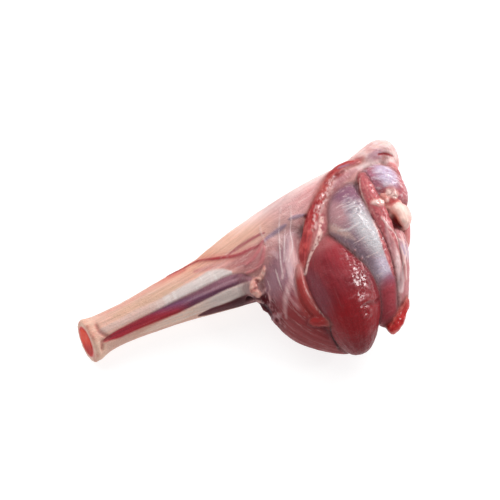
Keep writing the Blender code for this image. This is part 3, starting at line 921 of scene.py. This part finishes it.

# %% [markdown]
# The knee has a cap of cream-pink fat with a red slit, a silver lobe, and lumps of fat beside the bone. Last
# comes painted shade in the seams between the muscles.

# %% Colours of the knee, and painted shade in the seams
knee = own.knee_muscle
seam_shade = seam * (calf + silver + strip + side + knee) * (1 - own.rim_bed) * (1 - own.cut_rim)
flesh = painted(flesh, [
    (own.knee_fat * 1.4, "#deb8b2"),
    (own.knee_fat * rise(mottle, -0.1, 0.5), "#c47678", 0.6),
    (own.knee_fat * patch((341, 20, 70), (10, 5, 7)), "#a07088", 0.8),
    (own.knee_edge * 1.3, "#c47072"),
    (own.knee_edge * rise(mottle, 0, 0.6), "#d69e9a", 0.6),
    (knee, "#a6646e"),
    (knee * patch((318, 0, 76), (7, 15, 9)), "#aa627a", 0.9),
    (knee * patch((336, -6, 77), (10, 16, 12)), "#baa8be", 0.95),
    (knee * patch((314, -22, 80), (6, 7, 7)), "#863642", 0.8),
    (knee_sheet * rise(knee_streaks, 0.05, 0.6), "#ded0da", 0.6),
    (knee_sheet * rise(-knee_streaks, 0.2, 0.7), "#965468", 0.4),
    (right_red, "#be6266", 0.6),
    (right_red * rise(knee_streaks, 0.1, 0.5), "#e2baba", 0.6),
    (arch, "#e0c4c2", 0.8),
    (rim_tip, "#a83e3e", 0.75),
    (patch((357, 13, 66), (6, 6, 6)), "#eed2ce", 0.8),
    # Painted highlight along the top edge of the fat cap.
    (cap_highlight, "#e2c2bc", 0.3),
    (slit, "#a41e28", 0.9),
    (band(widened(FAT_BITS, more=3), 0.4), "#aa3c40", 0.7),
    (band(BONE_HOLLOW, 0.5), "#680c16", 0.9),
    (fat_bits * rise(bit_noise, -0.55, -0.1), "#daa09a", 0.8),
    (lumps, "#ecc8c0", 0.95),
    # Painted shade in the creases between the muscles.
    (seam_shade, "#460c14", 0.75),
    (strip_edge, "#d8b4ac", 0.7),
    # Painted highlight: the calf's short folds are painted pale where they catch the light.
    (calf_folds_and_highlight, "#d09294", 0.65),
    # Painted shade in the crack between the calf's lobes.
    (crack_shade, "#341016", 0.9),
])
film = 0.18 + 0.36 * lobe * (1 - 0.9 * low) + 0.30 * silver - 0.4 * silver_low
film += 0.3 * own.shin_muscle - 0.15 * calf - 0.10 * dark - 0.4 * shadowed_maroon - 0.15 * (rim + own.trim_strip)
gloss = 0.25 + 0.2 * calf + 0.5 * flank + 0.25 * silver + 0.15 * lobe + 0.4 * own.trim_strip
gloss += 0.3 * knee_sheet + 0.1 * sinew + 0.3 * dark + 0.3 * (rim + strip + fat_bits + fat_tag + rim_grain)
gloss -= 0.3 * (seam_shade + own.lobe_rim + crevice + shadowed_maroon) + 0.2 * lobe * low + 0.15 * ragged
keep_values(skin, fibre=fibre, flesh=flesh, film=np.clip(film, 0, 1), gloss=np.clip(gloss, 0, 1))
print("knee painted; seams cover", (seam > 0.5).mean().round(3), "of the skin")

# %% [markdown]
# The bone is cream pink and damp: a smooth knob with a dark red hollow at the knee, and a ring at the sawn
# end. The marrow is soft and red, more orange towards the top of the cut.

# %% Relief and colours of the bone
spots = spots_of(shin_bone)
x, y, z = spots.T
knob = rise(x, 290, 310)
hollow = band(widened(BONE_HOLLOW, more=1.2), 0.5)
bits = lumpy()
between = band([(314, -33, 78, 3.5), (324, -33, 74, 4.5), (334, -32, 72, 4)], 0.5)
lump = band([(328, -40, 74, 4), (329, -48, 76, 5), (327, -58, 72, 4.5)], 0.7)
peach_side = band([(317, -38, 77, 4), (319, -48, 76, 5), (320, -58, 71, 4.5)], 0.6)
from_middle = np.hypot(y - 1, (z - SHAFT_Z) * 1.03)
ring = (1 - rise(x, 4, 8)) * (1 - rise(from_middle, 15.0, 16.6))
relief = knob * (1.3 * cloudy(spots, 9.0, 81) + 0.6 * cloudy(spots, 3.6, 83))
relief += 1.3 * bits - 0.6 * between - 3.0 * hollow + 1.2 * lump
colour = painted(plain("#e2b2a8"), [
    (rise(cloudy(spots, 9.0, 85), 0, 0.7), "#da8e84", 0.7),
    (peach_side, "#d66e58", 0.85),
    (hollow, "#7c121a", 0.95),
    (between, "#a83438", 0.85),
    (bits, "#ecc8c0", 0.95),
    # Painted highlight: the knob's raised lump is painted near white where it catches the light.
    (lump, "#f0d0c4", 0.8),
    (1 - rise(x, 8, 14), "#e2a09a", 0.8),
    (ring, "#cc302a", 0.95),
])
keep_values(shin_bone, fibre=blended_fibres(BONE, spots)[0], flesh=colour, film=0.1, gloss=0.5 * knob)
pushed_out(shin_bone, relief)

spots = spots_of(marrow_core)
x, y, z = spots.T
colour = painted(plain("#e24228"), [
    (rise(-y - 0.6 * (z - SHAFT_Z), -4, 9), "#b21a1e", 0.9),
    (rise(cloudy(spots, 5.0, 93), 0.1, 0.6), "#de6048", 0.25),
])
keep_values(marrow_core, fibre=blended_fibres(MARROW, spots)[0], flesh=colour, film=0.0, gloss=0.1)
pushed_out(marrow_core, 0.35 * cloudy(spots, 4.0, 91))
print("bone knob and marrow painted")

# %% [markdown]
# All surfaces share two effects, and each is a node group. The first turns a painted colour into tissue, with
# fine streaks along the fibres and pale threads where there is film.

# %% Node group for tissue
def fill(tree, made, inputs):
    """Links or sets a node's inputs."""
    for label, value in inputs.items():
        if isinstance(value, bpy.types.NodeSocket):
            tree.links.new(value, made.inputs[label])
        else:
            made.inputs[label].default_value = value


def node(tree, kind, inputs, **settings):
    """A new node, with its settings made and its inputs filled."""
    made = tree.nodes.new(kind)
    for name, value in settings.items():
        setattr(made, name, value)
    fill(tree, made, inputs)
    return made


def new_group(name, inputs, outputs):
    """A node group with its inputs and outputs. An input's kind follows from its value; None is a vector."""
    kinds = {tuple: "NodeSocketColor", float: "NodeSocketFloat", type(None): "NodeSocketVector"}
    group = bpy.data.node_groups.new(name, "ShaderNodeTree")
    for label, value in inputs.items():
        socket = group.interface.new_socket(label, in_out="INPUT", socket_type=kinds[type(value)])
        if value is not None:
            socket.default_value = value
    for label, kind in outputs.items():
        group.interface.new_socket(label, in_out="OUTPUT", socket_type=kinds[kind])
    return group, group.nodes.new("NodeGroupInput").outputs, group.nodes.new("NodeGroupOutput").inputs


def number(tree, operation, *values):
    return node(tree, "ShaderNodeMath", dict(enumerate(values)), operation=operation).outputs[0]


def noise(tree, vector, scale, detail=2.0, roughness=0.5):
    inputs = {"Vector": vector, "Scale": scale, "Detail": detail, "Roughness": roughness}
    return node(tree, "ShaderNodeTexNoise", inputs).outputs["Fac"]


def spread(tree, value, low, high, top=1.0):
    """0 at low, the top value at high, and a soft step between."""
    inputs = {"Value": value, "From Min": low, "From Max": high, "To Max": top}
    return node(tree, "ShaderNodeMapRange", inputs, interpolation_type="SMOOTHSTEP").outputs["Result"]


def stretched(tree, vector, sizes):
    return node(tree, "ShaderNodeVectorMath", {0: vector, 1: sizes}, operation="MULTIPLY").outputs[0]


def blended(tree, factor, first, second, how="MIX"):
    """Two colours blended: a Mix node keeps its colour sockets in places 6 and 7, and out of place 2."""
    inputs = {0: factor, 6: first, 7: second}
    return node(tree, "ShaderNodeMix", inputs, data_type="RGBA", blend_type=how).outputs[2]


tissue, given, result = new_group(
    "tissue",
    {
        "Flesh": (0.5, 0.2, 0.2, 1.0),
        "Film": 0.3,
        "Fibre": None,
        "Contrast": 0.3,
        "Thread": (0.80, 0.66, 0.66, 1.0),
    },
    {"Colour": tuple, "Height": float},
)
long_way = stretched(tissue, given["Fibre"], (1.0, 1.0, 0.09))
streak = noise(tissue, long_way, 0.55, 3.0, 0.6)
thread = noise(tissue, long_way, 0.45, 4.0, 0.7)
fine = noise(tissue, given["Fibre"], 0.9)
shade = number(tissue, "MULTIPLY_ADD", number(tissue, "SUBTRACT", streak, 0.5), given["Contrast"], 1.0)
shade = number(tissue, "MULTIPLY_ADD", number(tissue, "SUBTRACT", fine, 0.5), 0.2, shade)
grey = node(tissue, "ShaderNodeCombineColor", {0: shade, 1: shade, 2: shade}).outputs[0]
toned = blended(tissue, 1.0, given["Flesh"], grey, "MULTIPLY")
threads = number(tissue, "MULTIPLY", spread(tissue, thread, 0.55, 0.68), given["Film"])
tissue.links.new(blended(tissue, threads, toned, given["Thread"]), result["Colour"])
height = number(tissue, "MULTIPLY_ADD", streak, 0.6, number(tissue, "MULTIPLY", fine, 0.4))
tissue.links.new(height, result["Height"])
print("group tissue has", len(tissue.nodes), "nodes")

# %% [markdown]
# The second group is the wet skin of the meat. The stored gloss says how wet a part is, and noise breaks it
# up, so that highlights sparkle.

# %% Node group for wetness
wetness, given, result = new_group(
    "wetness",
    {"Fibre": None, "Gloss": 0.5, "Dry": 0.60, "Wet": 0.13, "Fluid": 0.65},
    {"Roughness": float, "Coat": float, "Height": float},
)
patches = noise(wetness, given["Fibre"], 0.16, 3.0, 0.6)
wet_share = number(wetness, "MULTIPLY_ADD", number(wetness, "SUBTRACT", patches, 0.5), 1.2, given["Gloss"])
wet_share = spread(wetness, wet_share, 0.0, 1.0)
span = number(wetness, "SUBTRACT", given["Wet"], given["Dry"])
roughness = number(wetness, "MULTIPLY_ADD", wet_share, span, given["Dry"])
wetness.links.new(roughness, result["Roughness"])
fluid = number(wetness, "MULTIPLY", number(wetness, "POWER", wet_share, 2.0), given["Fluid"])
wetness.links.new(fluid, result["Coat"])
beads = noise(wetness, given["Fibre"], 0.55)
cross = noise(wetness, stretched(wetness, given["Fibre"], (0.24, 0.24, 1.0)), 0.6, 3.0, 0.6)
cross = number(wetness, "MULTIPLY", cross, spread(wetness, given["Gloss"], 0.6, 0.95, 1.3))
wetness.links.new(number(wetness, "ADD", beads, cross), result["Height"])
print("group wetness has", len(wetness.nodes), "nodes")

# %% [markdown]
# A finish is one Principled shader with both groups before it. Raw meat scatters a little light, mostly red,
# and that is a fixed number on the shader itself.

# %% Make a finish from the groups
def stored(tree, name, output="Fac"):
    """A value that is stored on the vertices."""
    return node(tree, "ShaderNodeAttribute", {}, attribute_name=name).outputs[output]


def finish(name, contrast, bump, scatter):
    material = bpy.data.materials.new(name)
    material.use_nodes = True
    tree = material.node_tree
    fibre_way = stored(tree, "fibre", "Vector")
    inputs = {
        "Flesh": stored(tree, "flesh", "Color"),
        "Film": stored(tree, "film"),
        "Fibre": fibre_way,
        "Contrast": contrast,
        "Thread": (*ink("#dec4c0"), 1.0),
    }
    meat = node(tree, "ShaderNodeGroup", inputs, node_tree=tissue).outputs
    inputs = {"Gloss": stored(tree, "gloss"), "Fibre": fibre_way}
    wet = node(tree, "ShaderNodeGroup", inputs, node_tree=wetness).outputs
    height = number(tree, "MULTIPLY_ADD", meat["Height"], 0.6, wet["Height"])
    dent = node(tree, "ShaderNodeBump", {"Strength": bump, "Distance": 0.0008, "Height": height})
    fill(tree, tree.nodes["Principled BSDF"], {
        "Base Color": meat["Colour"],
        "Roughness": wet["Roughness"],
        "Coat Weight": wet["Coat"],
        "Coat Roughness": 0.12,
        "Specular IOR Level": 0.18,
        "Subsurface Weight": scatter,
        "Subsurface Radius": (1.0, 0.35, 0.28),
        "Subsurface Scale": 0.002,
        "Normal": dent.outputs["Normal"],
    })
    return material


finishes = {
    "skin": finish("raw_meat_skin", contrast=0.60, bump=0.80, scatter=0.10),
    "bone": finish("fresh_bone", contrast=0.20, bump=0.50, scatter=0.12),
    "marrow": finish("red_marrow", contrast=0.20, bump=0.30, scatter=0.15),
}
print(len(finishes), "finishes")

# %% [markdown]
# Fine white strands lie over the film. Each is a thin round cord on a smooth line, half sunk into the skin.

# %% Strands of sinew
corners = [tuple(spot) for spot in spots_of(skin)]
skin_tree = BVHTree.FromPolygons(corners, [tuple(face.vertices) for face in skin.data.polygons])


def strand_piece(name, lines, radius, sunk):
    """Thin round cords on the skin, each sunk into it by a share of its radius."""
    curve = bpy.data.curves.new(name, "CURVE")
    curve.dimensions = "3D"
    curve.bevel_depth = radius
    curve.bevel_resolution = 2
    curve.use_fill_caps = True
    for line in lines:
        spline = curve.splines.new("POLY")
        points = along(line, np.linspace(0, 1, 40))
        spline.points.add(len(points) - 1)
        for k, (point, corner) in enumerate(zip(points, spline.points)):
            spot, normal, _, _ = skin_tree.find_nearest(Vector(point))
            corner.co = (*(spot - normal * radius * sunk), 1.0)
            corner.radius = 0.35 + 0.65 * math.sin(math.pi * (k + 0.5) / len(points)) ** 0.5
    drawn = placed(name, curve)
    bpy.context.view_layer.update()
    mesh = bpy.data.meshes.new_from_object(drawn)
    bpy.data.objects.remove(drawn)
    return placed(name, mesh)


strands = strand_piece("sinew_strands", STRANDS[:3], radius=0.30, sunk=0.6)
spots = spots_of(strands)
keep_values(strands, fibre=spots, flesh=plain("#e4d0d2"), film=0.0, gloss=0.7)
print("strands:", len(strands.data.polygons), "faces")

# %% [markdown]
# All pieces go to the model's frame, get smooth shading and their finish, and ride on the one body.

# %% Place, finish and mount the pieces
PIECES = {
    "meat_skin": ("skin", "meat", "raw_meat"),
    "sinew_strands": ("skin", "meat", "raw_meat"),
    "shin_bone": ("bone", "bone", "bone"),
    "marrow_core": ("marrow", "marrow", "marrow"),
}
for name, (look, packed_node, slot) in PIECES.items():
    piece = bpy.data.objects[name]
    piece.data.transform(TO_MODEL)
    piece.data.materials.clear()
    piece.data.materials.append(finishes[look])
    piece.data.polygons.foreach_set("use_smooth", [True] * len(piece.data.polygons))
    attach(piece, "root")
    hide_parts(packed_node)
print(len(PIECES), "pieces ride on the root body")

# %% [markdown]
# A plain pale floor, a bright room and a broad lamp overhead make soft studio light. Two windows on the
# right give the wet highlights, so the broad lamp shows in no mirror spot.

# %% Floor and light
floor_grid = bmesh.new()
bmesh.ops.create_grid(floor_grid, x_segments=1, y_segments=1, size=3.0)
floor_mesh = bpy.data.meshes.new("floor")
floor_grid.to_mesh(floor_mesh)
floor_grid.free()
floor = placed("floor", floor_mesh)
floor_paint = bpy.data.materials.new("pale_floor")
floor_paint.use_nodes = True
fill(floor_paint.node_tree, floor_paint.node_tree.nodes["Principled BSDF"], {
    "Base Color": (0.35, 0.35, 0.35, 1.0),
    "Emission Color": (1.0, 1.0, 1.0, 1.0),
    "Emission Strength": 0.78,
    "Roughness": 0.9,
})
floor.data.materials.append(floor_paint)

world = bpy.data.worlds.new("room")
world.use_nodes = True
room = world.node_tree.nodes["Background"]
fill(world.node_tree, room, {"Color": (1.0, 1.0, 1.0, 1.0), "Strength": 0.42})
bpy.context.scene.world = world


def lamp(name, place, target, size, power):
    light = bpy.data.lights.new(name, "AREA")
    light.shape = "DISK"
    light.size = size
    light.energy = power
    holder = placed(name, light)
    holder.location = place
    holder.rotation_euler = (Vector(target) - Vector(place)).to_track_quat("-Z", "Y").to_euler()
    return holder


BULB, MIDDLE = (0.08, 0.0, 0.04), (0.05, 0.0, 0.04)
lamp("window", (1.0, 0.25, 0.6), BULB, size=0.45, power=9.0)
lamp("second_window", (0.8, -0.5, 0.85), BULB, size=0.25, power=2.2)
overhead = lamp("overhead", (-0.1, 0.9, 1.1), MIDDLE, size=1.6, power=13.0)
overhead.visible_glossy = False
print("three lamps light the floor, which is", round(floor.dimensions.x, 1), "m across")

# %% [markdown]
# The camera looks down on the shank from the front left, 65 degrees above the table, through a long lens.

# %% Camera
AZIMUTH, ELEVATION = math.radians(-29.0), math.radians(65.0)
FLAT = math.cos(ELEVATION)
BACK = Vector((math.sin(AZIMUTH) * FLAT, -math.cos(AZIMUTH) * FLAT, math.sin(ELEVATION)))
AIM = (Vector((185.0, 1.0, 42.0)) + Vector(FROM_SAW_TO_MIDDLE)) * MM
DISTANCE = 1.25
view = bpy.data.cameras.new("camera")
view.lens = 90.0
view.sensor_width = 36.0
camera = placed("camera", view)
camera.location = AIM + BACK * DISTANCE
camera.rotation_euler = BACK.to_track_quat("Z", "Y").to_euler()
bpy.context.scene.camera = camera
bpy.context.scene.view_settings.view_transform = "Standard"
print("camera", [round(c, 3) for c in camera.location])

# %% [markdown]
# The dressed shank should be as large as the solids, apart from its relief.
